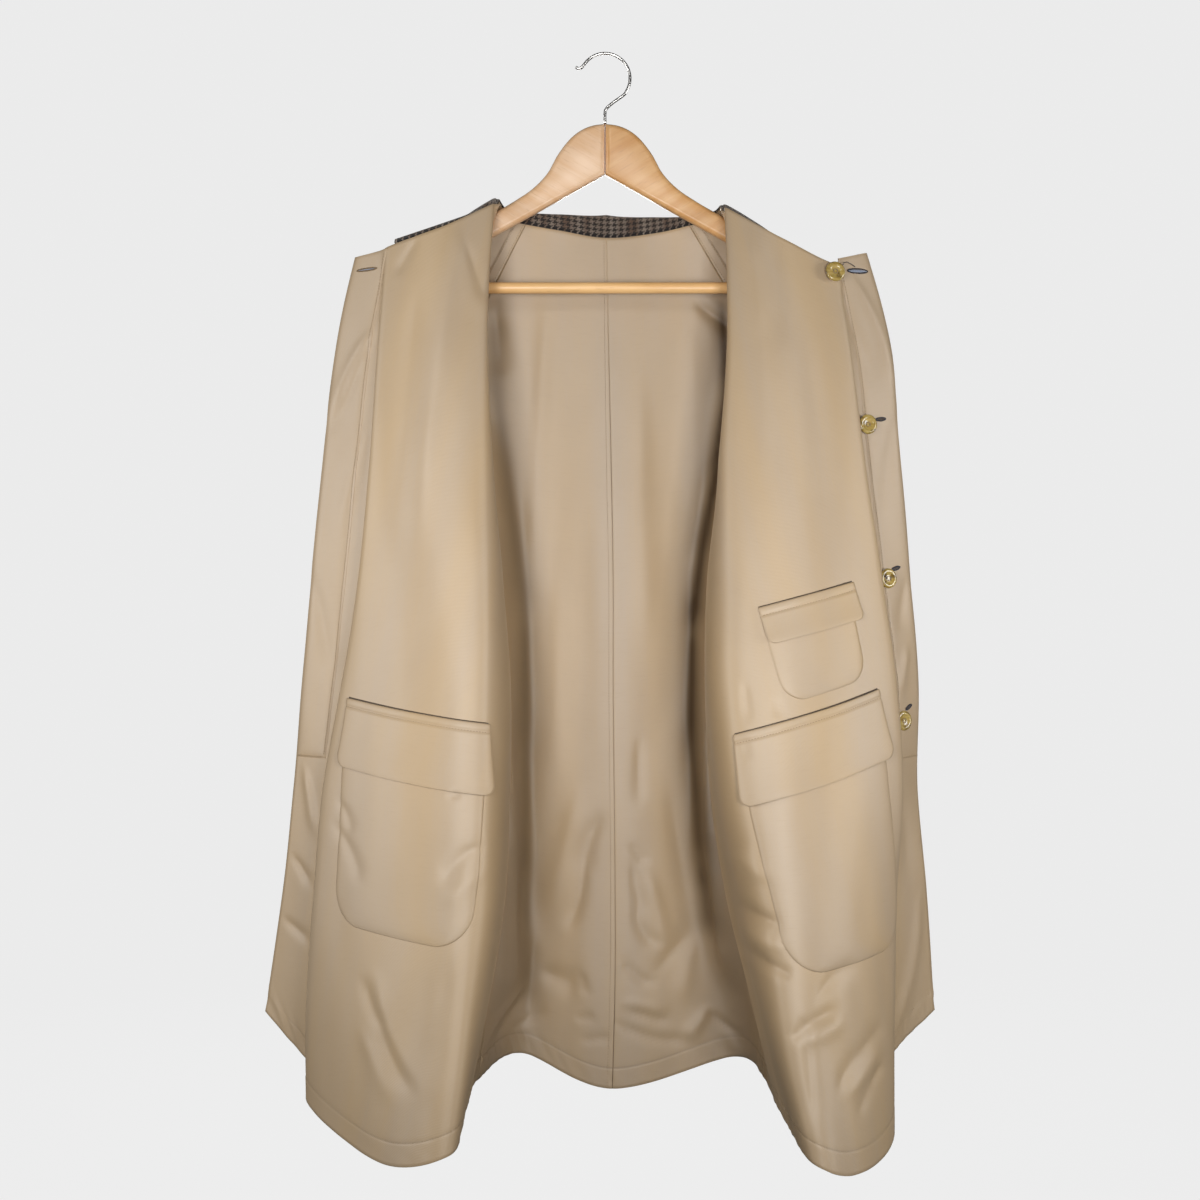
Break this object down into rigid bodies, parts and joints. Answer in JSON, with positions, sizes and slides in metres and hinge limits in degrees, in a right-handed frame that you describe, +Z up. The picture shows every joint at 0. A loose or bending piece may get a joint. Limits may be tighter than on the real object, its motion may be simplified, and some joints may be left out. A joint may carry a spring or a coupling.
{
  "type": "balmacaan coat on a wooden hanger",
  "caption": "Reversible raglan balmacaan coat hung wide open on a wooden hanger, fronts turned outwards to show the plain gabardine side with flap pockets and horn buttons, tweed behind.",
  "frame": {"origin": "inside top of the hanger's hook, where a nail or a rail carries it", "axes": "+Z up, -Y towards the side that the open coat shows, +X to the viewer's right"},
  "size_m": [0.7123, 0.2847, 1.1192],
  "materials": {
    "gabardine": "fine twill cotton gabardine, khaki, soft sheen",
    "tweed": "small houndstooth wool tweed, brown and grey, matt",
    "horn": "polished horn, olive and brown",
    "beech": "varnished beech, satin",
    "wire": "bright bent wire"
  },
  "bodies": {
    "root": {"front_left": "gabardine", "front_right": "gabardine", "back_left": "gabardine", "back_right": "gabardine", "sleeve_left_front": "tweed", "sleeve_left_back": "tweed", "sleeve_right_front": "tweed", "sleeve_right_back": "tweed", "collar": "tweed", "fly_left": "gabardine", "fly_right": "gabardine", "raglan_tape_left": "gabardine", "raglan_tape_right": "gabardine", "hip_pocket_left": "gabardine", "hip_pocket_right": "gabardine", "hip_flap_left": "gabardine", "hip_flap_right": "gabardine", "chest_pocket": "gabardine", "chest_flap": "gabardine", "button_1": "horn", "button_2": "horn", "button_3": "horn", "button_4": "horn", "hanger_arm_left": "beech", "hanger_arm_right": "beech", "hanger_bar": "beech", "hanger_hook": "wire"}
  },
  "joints": []
}
